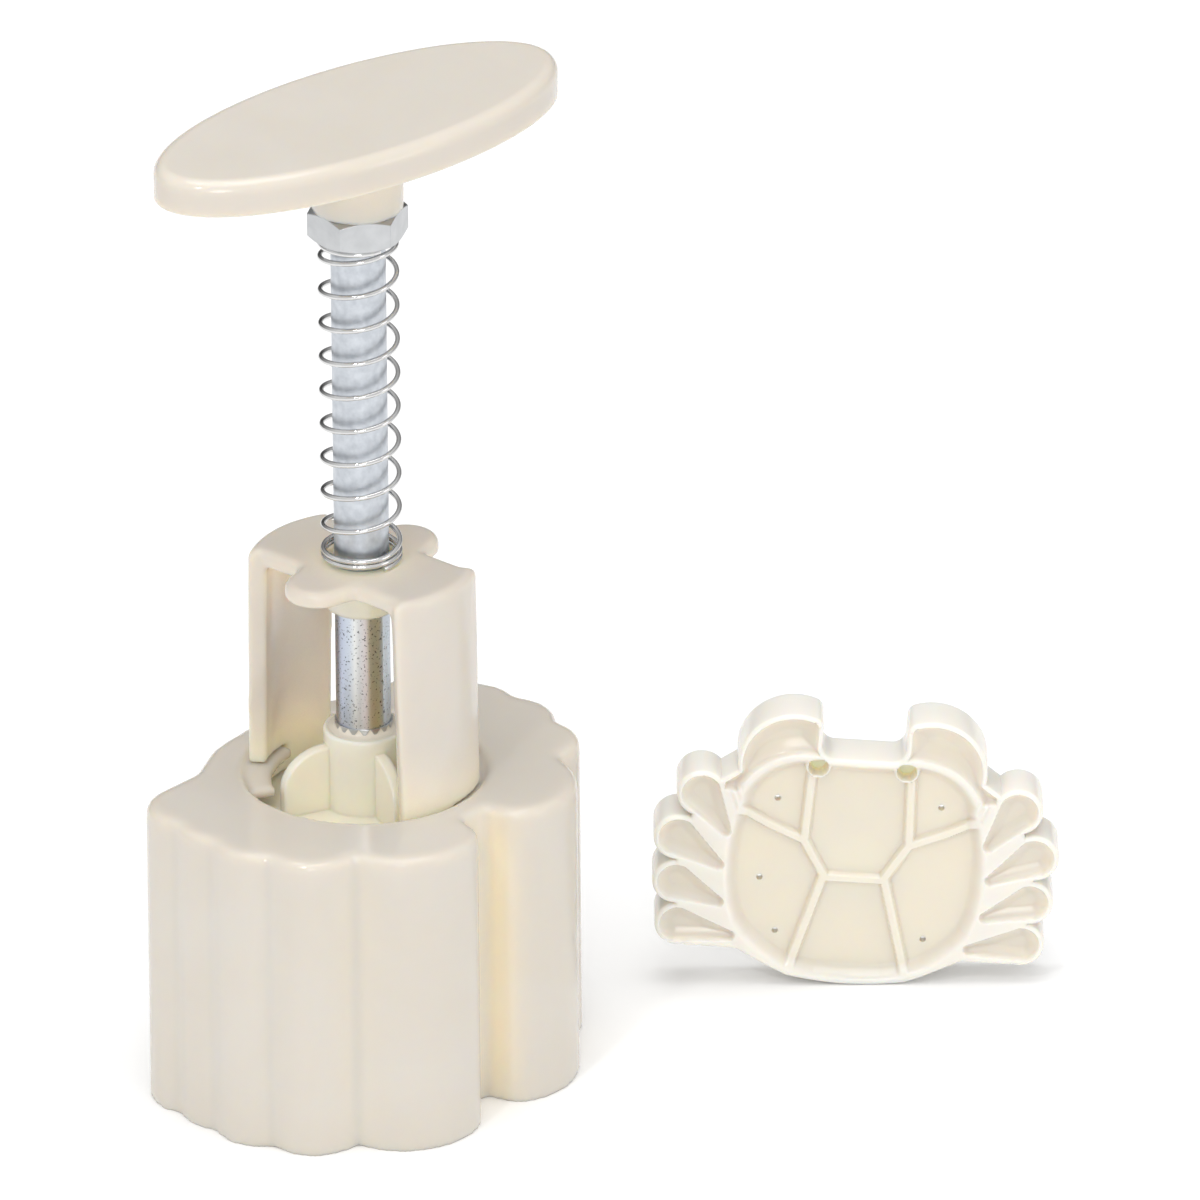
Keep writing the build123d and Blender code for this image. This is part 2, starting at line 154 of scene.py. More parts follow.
def bump(tree, shader, source, strength, distance, before=None):
    node = add(tree, "ShaderNodeBump", Strength=strength, Distance=distance)
    join(tree, source, "Fac", node, "Height")
    if before:
        join(tree, before, "Normal", node, "Normal")
    join(tree, node, "Normal", shader, "Normal")
    return node


def grey(value):
    return (value, value, value, 1)


# %% [markdown]
# The mould, cage, plunger and handle are moulded in an ivory ABS. It is slightly
# translucent: light goes a few millimetres in and comes out warmer. Subsurface
# scattering gives the softness. In grooves the light has been through the plastic
# several times, and that light is painted into the colour: an ambient occlusion node,
# which measures how closed in a spot is, picks between the open colour and a paler,
# warmer groove colour, a painted glow.
# Moulded plastic has no knife edges, so a bevel node rounds the shading of every
# edge, and a slow bump adds the slight waviness of a moulded wall. The carrier is deep
# inside the cage, and its colour is painted paler there, standing in for the light that
# reaches it through the plastic; the thin lip scatters nothing.

# %% Moulded plastic
CLOSENESS_REACH = 14 * MM           # how far round a spot is looked at
GROOVE_GLOW_AT, OPEN_AT = 0.36, 0.96     # the openness at which each colour is full
SKIN_CLOUDS, GLOSS_CLOUDS, WALL_WAVES = 38.0, 120.0, 70.0       # scales
WAVE_HEIGHT = 0.04 * MM
ABS_IOR = 1.53
SCATTER_COLOURS, SCATTER_DEPTH = (1.0, 0.72, 0.42), 4 * MM      # red goes deepest


def painted_glow_by_openness(groove_glow, open_face, alone=False):
    """Painted glow: colour by how open a spot lies, paler and warmer in grooves. alone leaves
    every other piece out of account.
    """
    def tint(tree, place):
        openness = add(tree, "ShaderNodeAmbientOcclusion", samples=8, only_local=alone,
                       Distance=CLOSENESS_REACH)
        # painted glow: closed-in spots get the paler, warmer groove colour in place of light
        colour = ramp(tree, openness, [(GROOVE_GLOW_AT, groove_glow), (OPEN_AT, open_face)], "AO")
        clouds = ramp(tree, cloud(tree, place, SKIN_CLOUDS, 3.0, 0.8),
                      [(0.35, (0.985, 0.975, 0.955, 1)), (0.65, grey(1.0))])
        return times(tree, colour, "Color", clouds), MIX_RESULT
    return tint


def plastic(name, tint, roughness, softness, scatter=0.8):
    """A glossy moulded plastic. softness is the radius that its edges seem to have."""
    material, tree, shader, place = new_material(name)
    colour, output = tint(tree, place)
    join(tree, colour, output, shader, "Base Color")
    gloss = ramp(tree, cloud(tree, place, GLOSS_CLOUDS, 2.0),
                 [(0.35, grey(roughness - 0.03)), (0.7, grey(roughness + 0.05))])
    join(tree, gloss, "Color", shader, "Roughness")
    shader.inputs["IOR"].default_value = ABS_IOR
    shader.inputs["Subsurface Weight"].default_value = scatter
    shader.inputs["Subsurface Radius"].default_value = SCATTER_COLOURS
    shader.inputs["Subsurface Scale"].default_value = SCATTER_DEPTH
    edges = add(tree, "ShaderNodeBevel", samples=6, Radius=softness)
    bump(tree, shader, cloud(tree, place, WALL_WAVES, 1.0), 0.3, WAVE_HEIGHT, edges)
    return material


OPEN_IVORY = (0.625, 0.587, 0.53, 1)
MOULD_PLASTIC = plastic("ivory_abs", painted_glow_by_openness((0.91, 0.815, 0.635, 1), OPEN_IVORY, alone=True),
                        roughness=0.1, softness=0.9 * MM)
INNER_PLASTIC = plastic("ivory_abs_inner", painted_glow_by_openness((0.98, 0.89, 0.70, 1), OPEN_IVORY),
                        roughness=0.1, softness=0.9 * MM)
# painted light: the carrier's colours are paler than the mould's, standing in for light that
# reaches it inside the cage
CARRIER_PAINTED_LIGHT_PLASTIC = plastic("ivory_abs_carrier_painted_light",
                          painted_glow_by_openness((0.98, 0.89, 0.73, 1), (0.91, 0.83, 0.72, 1)),
                          roughness=0.1, softness=0.9 * MM)
THIN_PLASTIC = plastic("ivory_abs_thin",
                       painted_glow_by_openness((0.92, 0.86, 0.74, 1), (0.74, 0.69, 0.61, 1)),
                       roughness=0.17, softness=0.2 * MM, scatter=0.0)
print("ivory plastics:", MOULD_PLASTIC.name, INNER_PLASTIC.name, CARRIER_PAINTED_LIGHT_PLASTIC.name,
      THIN_PLASTIC.name)

# %% [markdown]
# The stamp's colour by depth is painted light and shade: it is paler on its rims, a
# darker, deeper cream in its hollows, and a bright painted glow of yellow on the floors
# of the eyes, the deepest spots. Its carved face carries a number at every point, how
# deep it is sunk in mm, and a ramp turns that number into the colour.

# %% Cream plastic of the stamp
DEEPEST = 3.4               # mm, the floor of the eyes
# painted light and shade by depth: pale rims, darker cream hollows, a yellow glow at the eyes'
# floors
PAINTED_DEPTH_CREAMS = [(0.0, (0.75, 0.73, 0.685, 1)), (0.12, (0.74, 0.715, 0.665, 1)),
          (0.5, (0.71, 0.665, 0.57, 1)), (0.68, (0.71, 0.665, 0.57, 1)),
          (1.0, (1.0, 0.90, 0.62, 1))]


def painted_light_by_depth(tree, place):
    depth = add(tree, "ShaderNodeAttribute", attribute_name="sunk")
    return ramp(tree, between(tree, depth, "Fac", 0, DEEPEST), PAINTED_DEPTH_CREAMS, "Result"), "Color"


STAMP_PLASTIC = plastic("cream_abs", painted_light_by_depth, roughness=0.2, softness=0.25 * MM)
print("stamp plastic:", STAMP_PLASTIC.name, "with", len(PAINTED_DEPTH_CREAMS), "creams")


# %% [markdown]
# The metal is zinc plate over steel. The spring wire is bright, the nut is satin and
# the bar is mottled grey where the spring rubs it. Inside the cage nothing touches
# the bar: the passivated plate is still clear there, in bands of blue, straw and pink
# that run along it, with small dark pits. The bands are partly painted reflection: they
# come from a ramp across the bar in the camera's sideways direction, with a painted
# highlight left of the middle and painted shade at both edges.

# %% Zinc plate
PLATE_CLOUDS = 330.0                # scale


def satin_metal(name, light, dark, roughness, softness):
    material, tree, shader, place = new_material(name)
    tint = ramp(tree, cloud(tree, place, PLATE_CLOUDS, 3.0), [(0.35, dark), (0.65, light)])
    join(tree, tint, "Color", shader, "Base Color")
    shader.inputs["Metallic"].default_value = 1.0
    shader.inputs["Roughness"].default_value = roughness
    edges = add(tree, "ShaderNodeBevel", samples=6, Radius=softness)
    join(tree, edges, "Normal", shader, "Normal")
    return material


# tints of the clear plate laid out as painted reflection: a light band left of the middle, painted
# shade at the edges
TINT_AND_SHEEN_BANDS = [(0.0, (0.40, 0.40, 0.44, 1)), (0.08, (0.46, 0.50, 0.61, 1)),
         (0.26, (0.56, 0.61, 0.68, 1)), (0.36, (0.72, 0.73, 0.72, 1)),
         (0.44, (0.56, 0.56, 0.56, 1)), (0.56, (0.60, 0.54, 0.53, 1)),
         (0.63, (0.64, 0.62, 0.50, 1)), (0.78, (0.66, 0.67, 0.52, 1)),
         (0.88, (0.56, 0.62, 0.69, 1)), (1.0, (0.46, 0.50, 0.55, 1))]
RUBBED_DARK, RUBBED_LIGHT = (0.50, 0.53, 0.57, 1), (0.64, 0.67, 0.71, 1)
CLEAR_ROUGHNESS, RUBBED_ROUGHNESS = 0.33, 0.42
MOTTLE, PITS = 650.0, 2300.0        # scales
# over FADE the painted reflection bands give way to the mottled grey
FADE = 4 * MM                       # the clear plate fades out over this height


def bar_zinc():
    material, tree, shader, place = new_material("bar_zinc")
    mottled = cloud(tree, place, MOTTLE, 6.0)
    rubbed = ramp(tree, mottled, [(0.3, RUBBED_DARK), (0.7, RUBBED_LIGHT)])
    # across the bar in the camera's sideways direction, so the bands are painted reflection
    across = add(tree, "ShaderNodeVectorMath", operation="DOT_PRODUCT")
    join(tree, place, "Object", across, 0)
    across.inputs[1].default_value = ASIDE
    tint_and_sheen = ramp(tree, between(tree, across, "Value", -ROD_RADIUS, ROD_RADIUS), TINT_AND_SHEEN_BANDS, "Result")
    pits = ramp(tree, cloud(tree, place, PITS, 3.0), [(0.60, grey(1.0)), (0.66, grey(0.25))])
    pitted = times(tree, tint_and_sheen, "Color", pits)
    height = add(tree, "ShaderNodeSeparateXYZ")
    join(tree, place, "Object", height, "Vector")
    above_plate = between(tree, height, "Z", PLATE_TOP - FADE, PLATE_TOP)
    both = add(tree, "ShaderNodeMix", data_type="RGBA")
    join(tree, above_plate, "Result", both, MIX_SHARE)
    join(tree, pitted, MIX_RESULT, both, MIX_A)
    join(tree, rubbed, "Color", both, MIX_B)
    join(tree, both, MIX_RESULT, shader, "Base Color")
    gloss = between(tree, height, "Z", PLATE_TOP - FADE, PLATE_TOP,
                    CLEAR_ROUGHNESS, RUBBED_ROUGHNESS)
    join(tree, gloss, "Result", shader, "Roughness")
    shader.inputs["Metallic"].default_value = 1.0
    bump(tree, shader, mottled, 0.12, 0.02 * MM)
    return material


ROD_ZINC = bar_zinc()
NUT_ZINC = satin_metal("nut_zinc", (0.55, 0.56, 0.57, 1), (0.49, 0.50, 0.51, 1),
                       roughness=0.28, softness=0.3 * MM)
WIRE_STEEL = satin_metal("bright_wire", grey(0.70), grey(0.64), roughness=0.08, softness=0.02 * MM)
print("metals:", ROD_ZINC.name, NUT_ZINC.name, WIRE_STEEL.name)

# %% [markdown]
# Each solid gets its material in its own slot, so the solid itself isn't touched.

# %% Paint the solids
FINISH = {
    "mould_barrel": MOULD_PLASTIC,
    "guide_cage": INNER_PLASTIC,
    "plunger_carrier": CARRIER_PAINTED_LIGHT_PLASTIC,
    "handle": MOULD_PLASTIC,
    "crab_stamp": STAMP_PLASTIC,
    "push_rod": ROD_ZINC,
    "jam_nut": NUT_ZINC,
    "return_spring": WIRE_STEEL,
}
for name, material in FINISH.items():
    mesh = NODES[name].data
    mesh.materials.clear()
    mesh.materials.append(material)
    print(name, "->", material.name, len(mesh.polygons), "faces")

# %% [markdown]
# Every edge of the cage is rounded and its inner corners are filled. A bevel would need
# clean loops of edges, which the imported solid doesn't have. So a copy of the solid is
# rebuilt as an even grid of small faces, and rounds of smoothing then melt what is
# sharp and leave the flat walls alone.

# %% Copies of a solid
WELD = 0.002 * MM           # corners this near to each other are one point


def welded(node):
    """A solid's copy whose faces share their corners."""
    shape = bmesh.new()
    shape.from_mesh(NODES[node].data)
    bmesh.ops.remove_doubles(shape, verts=shape.verts, dist=WELD)
    return shape


def new_piece(name, mesh):
    piece = bpy.data.objects.new(name, mesh)
    bpy.context.collection.objects.link(piece)
    return piece


def evaluated(piece):
    """A plain mesh of a piece as its modifiers leave it."""
    now = bpy.context.evaluated_depsgraph_get()
    return bpy.data.meshes.new_from_object(piece.evaluated_get(now))


def keep(piece, mesh, material):
    """Gives a piece its final mesh, all of it in one material."""
    piece.modifiers.clear()
    piece.data = mesh
    mesh.name = piece.name
    mesh.materials.clear()
    mesh.materials.append(material)
    mesh.polygons.foreach_set("material_index", [0] * len(mesh.polygons))
    print(piece.name, len(mesh.polygons), "faces,", material.name)
    return piece


def gridded(name, node, grain):
    """A solid's copy, rebuilt as an even grid of small faces."""
    piece = new_piece(name, bpy.data.meshes.new(name))
    shape = welded(node)
    shape.to_mesh(piece.data)
    shape.free()
    grid = piece.modifiers.new("grid", "REMESH")
    grid.mode, grid.voxel_size, grid.use_smooth_shade = "VOXEL", grain, True
    mesh = evaluated(piece)
    piece.modifiers.clear()
    piece.data = mesh
    return piece


# %% Soft cage
PULL = 0.5                  # how far a point goes towards its neighbours in one round
EVEN_ROUNDS = 8


def melted(piece, rounds, material, weights=None):
    """Rounds off what is sharp. With weights, a few flat rounds then even out the walls."""
    melt = piece.modifiers.new("melt", "SMOOTH")
    melt.factor, melt.iterations = PULL, rounds
    if weights is not None:
        group = piece.vertex_groups.new(name="melts")
        for level in sorted(set(weights)):
            group.add([i for i, w in enumerate(weights) if w == level], level, "REPLACE")
        melt.vertex_group = group.name
        even = piece.modifiers.new("even", "SMOOTH")
        even.factor, even.iterations, even.use_z = PULL, EVEN_ROUNDS, False
    keep(piece, evaluated(piece), material)
    piece.vertex_groups.clear()
    return piece


cage = gridded("soft_cage", "guide_cage", grain=0.36 * MM)
melted(cage, rounds=24, material=INNER_PLASTIC)
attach(cage, "guide")
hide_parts("guide_cage")

# %% [markdown]
# The grooves between the mould's lobes are wide and soft, and so is the rim of its
# deck. The same melting does both. But the real mould is crisp where it has to fit:
# at its mouth, round its hole and in its cavity. So each point gets a weight that says
# how much it may melt. A ray straight up finds the points that lie inside the wall.

# %% Soft mould
LEAST_MELT = 0.2                                # inside the wall and round the hole
HOLE_KEPT, HOLE_FADE = 23.5 * MM, 3 * MM        # the deck melts outwards of this
MOUTH_KEPT, MOUTH_FADE = 0.4 * MM, 2 * MM       # and the wall upwards of this


def faded(value, start, width):
    return min(max((value - start) / width, 0), 1)


def mould_weights(piece):
    """How much each point may melt: 1 on the outside, less at mouth, hole and cavity."""
    mesh = piece.data
    tree = BVHTree.FromPolygons([v.co for v in mesh.vertices], [f.vertices for f in mesh.polygons])
    weights = []
    for vertex in mesh.vertices:
        start = vertex.co + vertex.normal * 0.5 * MM
        covered = start.z < DECK_TOP - 1 * MM and tree.ray_cast(start, UP)[0] is not None
        away = math.hypot(vertex.co.x, vertex.co.y)
        share = LEAST_MELT
        if not covered:
            share += (1 - LEAST_MELT) * faded(away, HOLE_KEPT, HOLE_FADE)
        weights.append(round(share * faded(vertex.co.z, MOUTH_KEPT, MOUTH_FADE), 1))
    return weights


mould = gridded("soft_mould", "mould_barrel", grain=0.68 * MM)
melted(mould, rounds=22, material=MOULD_PLASTIC, weights=mould_weights(mould))
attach(mould, "mould")
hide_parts("mould_barrel")

# %% [markdown]
# The stamp's face is a shallow bowl in the shape of the crab's shell, with hollows
# for legs and claws and thin raised lines between the shell's plates. Such a relief
# is easiest to say as a depth at each point, so the flat front of the solid is cut
# off, a fine triangle net is laid inside its outline, and each point of the net is
# sunk by that depth. The walls, the hollow back and the socket stay as they are. The
# stamp leans a little, so the first step is a set of axes of its own.

# %% Stamp: its own axes
STAMP_LEAN = math.radians(4.4)
SIDE = ASIDE * math.cos(STAMP_LEAN) - UP * math.sin(STAMP_LEAN)
AHEAD = ASIDE * math.sin(STAMP_LEAN) + UP * math.cos(STAMP_LEAN)
STAMP_AT = (ASIDE * 89.2 - FORWARD * 35.7 + UP * 23.099) * MM
FACE = 9.0                  # mm from the back to the plane of the face
BACK_FLOOR = 5.0            # mm from the back to the floor of its hollow
RIM_ROUND = 0.8             # mm, radius of the rim


def to_stamp(co):
    """A point of the model in the stamp's axes, in mm: side, ahead, towards the face."""
    offset = co - STAMP_AT
    return np.array((offset.dot(SIDE), offset.dot(AHEAD), offset.dot(FORWARD))) / MM


def from_stamp(side, ahead, out):
    return STAMP_AT + (SIDE * float(side) + AHEAD * float(ahead) + FORWARD * float(out)) * MM


print("the stamp's back is centred on", [round(v / MM, 1) for v in STAMP_AT], "mm")


# %% [markdown]
# The edge of each hollow is a line or a closed loop in the plane of the face, and the
# depth at a point follows from how far inside it lies. That takes a distance to a
# line, a test for inside and an ease, which turns a distance into a soft slope.

# %% Stamp: distances in the plane of the face
def to_line(points, line):
    """Distance of each point from a run of straight pieces."""
    best = np.full(len(points), 1e9)
    for a, b in zip(line[:-1], line[1:]):
        a, b = np.array(a, float), np.array(b, float)
        run = b - a
        share = np.clip(((points - a) @ run) / max(run @ run, 1e-12), 0, 1)
        best = np.minimum(best, np.hypot(*(points - a - share[:, None] * run).T))
    return best


def inside(points, loop):
    """True for each point that a closed loop surrounds."""
    x, y = points.T
    odd = np.zeros(len(points), bool)
    for (ax, ay), (bx, by) in zip(loop, np.roll(loop, -1, axis=0)):
        crosses = (ay > y) != (by > y)
        where = ax + (y - ay) * (bx - ax) / (by - ay if by != ay else 1e-12)
        odd ^= crosses & (x < where)
    return odd


def depth_in(points, loop):
    """How far each point is inside a closed loop, negative outside."""
    closed = np.vstack([loop, loop[:1]])
    away = to_line(points, closed)
    return np.where(inside(points, np.asarray(loop)), away, -away)


def ease(value, low, high):
    share = np.clip((value - low) / (high - low), 0, 1)
    return share * share * (3 - 2 * share)


# %% [markdown]
# A height image could carve the face, but formulas are exact at any size and every
# number in them means something. Legs and claws are hollows with round floors, the
# shell is a bowl with raised lines, the eyes are holes with a low collar, and a fan of
# fine lines lies beside each claw. Where two hollows meet, the deeper one counts. The
# numbers are mm in the stamp's axes, for the right half; the left half mirrors it.

# %% Stamp: the relief
LEGS = [((29.0, 14.2), (24.0, 6.8), 3.85), ((32.6, 5.0), (24.9, 0.0), 3.85),
        ((32.4, -4.1), (24.5, -7.6), 3.65), ((31.5, -12.7), (22.0, -14.4), 3.55)]
LEG_ROOT = 1.2
SHELL_EDGE = [(21.8, 13.0), (22.8, 10.2), (23.7, 5.3), (23.9, 1.1), (23.8, -3.2),
              (23.1, -7.9), (21.8, -11.8), (19.7, -14.7), (16.9, -17.3), (14.2, -19.3),
              (11.0, -20.8), (6.3, -21.8), (0.0, -22.1)]
ARCH_CENTRE, ARCH_RADIUS = np.array((10.0, 10.0)), 12.7
RIDGES = [[(9.1, 19.2), (9.6, 5.5)], [(21.8, 11.3), (16.5, 8.4), (9.6, 5.4)],
          [(9.6, 5.4), (5.3, -1.9)], [(0.0, -1.9), (5.3, -1.9)], [(5.7, -2.0), (11.0, -21.8)]]
CLAW_FROM, CLAW_TO, CLAW_ABOVE = 7.6, 24.8, 13.2
CLAW_FOOT, CLAW_FOOT_NORMAL = np.array((22.2, 16.3)), np.array((-0.2, 0.98))
EYE, EYE_RADIUS = (8.1, 20.9), 1.85
FAN, FAN_PITCH = [(22.5, 19.6), (26.0, 17.4), (22.8, 10.3), (20.8, 14.4)], 1.15
FAN_RUN = np.array((0.93, -0.36))       # the fan's lines lie square to this
VENTS = [(-15.0, 13.3), (15.0, 13.3), (-17.2, -3.1), (-13.6, -13.8), (13.6, -13.8)]
VENT_RADIUS = 0.6
# For each hollow: its depth, how far in it is reached, and the rim that it leaves.
LEG_DEPTH, LEG_FULL, LEG_RIM = 2.0, 2.4, 0.55
CLAW_DEPTH, CLAW_FULL, CLAW_RIM = 2.3, 3.2, 0.65
SHELL_DEPTH, SHELL_FULL, SHELL_RIM = 2.3, 2.6, 0.7
FAN_DEPTH, FAN_FULL, FAN_RIM = 0.22, 0.4, 0.5
RIDGE_RISE, RIDGE_TOP, RIDGE_FOOT = 1.1, 0.55, 1.15     # height and two half widths
EYE_COLLAR, COLLAR_WIDTH = 0.6, 0.9


def leg_hollow(points, tip, root, tip_radius):
    """Depth inside a drop shape: round at the tip, narrow at the root."""
    tip, root = np.array(tip), np.array(root)
    run = root - tip
    share = np.clip(((points - tip) @ run) / (run @ run), 0, 1)
    radius = tip_radius + (LEG_ROOT - tip_radius) * share
    return radius - np.hypot(*(points - tip - share[:, None] * run).T)


def shell_loop():
    """The shell's outline: its edge, the arch over a claw, the brow, and all mirrored."""
    arch = [tuple(ARCH_CENTRE + ARCH_RADIUS * np.array((math.cos(t), math.sin(t))))
            for t in np.radians(np.arange(22, 92, 6))]
    half = SHELL_EDGE[::-1] + arch + [(7.0, 22.2), (0.0, 22.1)]
    return np.array(half + [(-x, y) for x, y in half[-2:0:-1]])


SHELL = shell_loop()
print("shell:", len(SHELL), "points,", len(LEGS) * 2, "legs,", len(VENTS), "vents")


def round_floor(inwards, full):
    """0 at the edge of a hollow, 1 from full mm inwards, steep first and then flat."""
    return np.sqrt(np.clip(inwards / full, 0, 1))


def relief(points, rim):
    """How deep the face is sunk at each point, in mm. rim is the distance from the outline."""
    half = np.stack([np.abs(points[:, 0]), points[:, 1]], axis=1)
    sunk = np.zeros(len(points))
    for tip, root, radius in LEGS:
        leg = np.minimum(leg_hollow(half, tip, root, radius), rim - LEG_RIM)
        sunk = np.maximum(sunk, LEG_DEPTH * round_floor(leg, LEG_FULL) * ease(leg, 0, 0.5))
    fan = np.minimum(depth_in(half, np.array(FAN)), rim - FAN_RIM)
    wave = 0.5 - 0.5 * np.cos(half @ FAN_RUN * math.tau / FAN_PITCH)
    sunk = np.maximum(sunk, FAN_DEPTH * wave * ease(fan, 0.0, FAN_FULL))
    from_arch = np.hypot(*(half - ARCH_CENTRE).T) - ARCH_RADIUS
    claw = np.minimum(rim - CLAW_RIM, from_arch - 0.6)
    claw = np.minimum(claw, (half[:, 0] - CLAW_FROM) * 2)
    claw = np.where((half[:, 1] > CLAW_ABOVE) & (half[:, 0] < CLAW_TO), claw, -1.0)
    claw = np.minimum(claw, (half - CLAW_FOOT) @ CLAW_FOOT_NORMAL + 1.5)
    sunk = np.maximum(sunk, CLAW_DEPTH * round_floor(claw, CLAW_FULL) * ease(claw, 0, 0.6))
    shell = np.minimum(depth_in(points, SHELL), rim - SHELL_RIM)
    lines = np.min([to_line(half, ridge) for ridge in RIDGES], axis=0)
    ridge = RIDGE_RISE * (1 - ease(lines, RIDGE_TOP, RIDGE_FOOT))
    bowl = SHELL_DEPTH * ease(shell, -0.1, SHELL_FULL) - ridge * ease(shell, 0.2, 2.0)
    sunk = np.maximum(sunk, np.where(shell > -0.1, bowl, 0))
    eye = EYE_RADIUS - np.hypot(*(half - np.array(EYE)).T)
    collar = EYE_COLLAR + (SHELL_DEPTH - EYE_COLLAR) * ease(-eye, 0.3, COLLAR_WIDTH)
    sunk = np.where(eye > -0.6, np.minimum(sunk, collar), sunk)
    into_eye = ease(eye, 0.0, 0.25)
    return np.where(eye > 0, DEEPEST * into_eye + sunk * (1 - into_eye), sunk)


# %% [markdown]
# Five narrow vents let the air out from under the dough. They are real holes, bored
# through the solid by a boolean cut. The front is then taken off, which leaves open
# borders: the outline and one circle at each vent.

# %% Stamp: vents, then the borders of its front
FRONT_FROM = BACK_FLOOR + 0.6       # mm from the back; faces wholly above this are the front


def pierced():
    """A copy of the stamp's solid with five narrow vents bored through its face."""
    solid = new_piece("stamp_solid", bpy.data.meshes.new("stamp_solid"))
    shape = welded("crab_stamp")
    shape.to_mesh(solid.data)
    shape.free()
    cutter = new_piece("vent_drills", bpy.data.meshes.new("vent_drills"))
    drills = bmesh.new()
    facing = Matrix((SIDE, AHEAD, FORWARD)).transposed().to_4x4()
    for side, ahead in VENTS:
        place = Matrix.Translation(from_stamp(side, ahead, FACE)) @ facing
        bmesh.ops.create_cone(
            drills, cap_ends=True, segments=20, radius1=VENT_RADIUS * MM,
            radius2=VENT_RADIUS * MM, depth=2 * (FACE - BACK_FLOOR + 1) * MM, matrix=place)
    drills.to_mesh(cutter.data)
    drills.free()
    cut = solid.modifiers.new("vents", "BOOLEAN")
    cut.operation, cut.solver, cut.object = "DIFFERENCE", "EXACT", cutter
    done = evaluated(solid)
    for thing in (solid, cutter):
        bpy.data.objects.remove(thing)
    return done


def border_loops(shape):
    """Takes the front off and gives its borders as ordered vertices, the longest first."""
    front = [f for f in shape.faces if all(to_stamp(v.co)[2] > FRONT_FROM for v in f.verts)]
    bmesh.ops.delete(shape, geom=front, context="FACES")
    links = {}
    for edge in shape.edges:
        if edge.is_boundary:
            for vertex in edge.verts:
                links.setdefault(vertex, []).append(edge.other_vert(vertex))
    loops, seen = [], set()
    for start in links:
        if start in seen:
            continue
        loop, previous, current = [], None, start
        while current not in seen:
            seen.add(current)
            loop.append(current)
            following = [v for v in links[current] if v is not previous and v not in seen]
            previous, current = current, following[0] if following else start
        loops.append(loop)
    return sorted(loops, key=len, reverse=True)


# %% [markdown]
# The new front needs small triangles everywhere and smaller ones over its rounded rim.
# Cutting up the old flat faces would leave slivers along the outline, so the points
# are laid out first: rings that follow the outline, and a staggered grid inside them.

# %% Stamp: the net of the new front
NET_STEP = 0.3                              # mm between points
RINGS = (0.06, 0.16, 0.32, 0.54, 0.8)       # mm in from the outline, over the rounded rim
RING_FIT, RING_CELL = 0.004, 0.17           # mm off the ring allowed, one point per cell


def net_points(outline):
    """Points inside the outline: rings along the rounded rim, then a staggered grid."""
    closed = np.vstack([outline, outline[:1]])
    found = []
    for inset in RINGS:
        ring = []
        for a, b in zip(closed[:-1], closed[1:]):
            run = b - a
            length = np.hypot(*run)
            normal = np.array((-run[1], run[0])) / length
            for share in np.arange(0, 1, min(1.0, NET_STEP / length)):
                for sign in (1, -1):
                    ring.append(a + run * share + normal * sign * inset)
            for turn in np.radians(np.arange(0, 360, 30)):
                ring.append(a + inset * np.array((math.cos(turn), math.sin(turn))))
        ring = np.array(ring)
        away = depth_in(ring, outline)
        ring = ring[np.abs(away - inset) < RING_FIT]
        kept, seen = [], set()
        for point in ring:
            cell = tuple(np.round(point / RING_CELL).astype(int))
            if cell not in seen:
                seen.add(cell)
                kept.append(point)
        found.append(np.array(kept))
    low, high = outline.min(0), outline.max(0)
    rows = np.arange(low[1], high[1], NET_STEP * 0.866)
    grid = np.array([(x + (number % 2) * NET_STEP / 2, y) for number, y in enumerate(rows)
                     for x in np.arange(low[0], high[0], NET_STEP)])
    grid = grid[depth_in(grid, outline) > RIM_ROUND + 0.12]
    found.append(grid)
    return np.vstack(found)


# %% [markdown]
# A Delaunay triangulation joins the points and keeps the borders as edges, so the new
# front meets the walls and the vents without a gap. Each point is then sunk by the
# rounding of the rim and by the relief, and remembers its depth for the material.

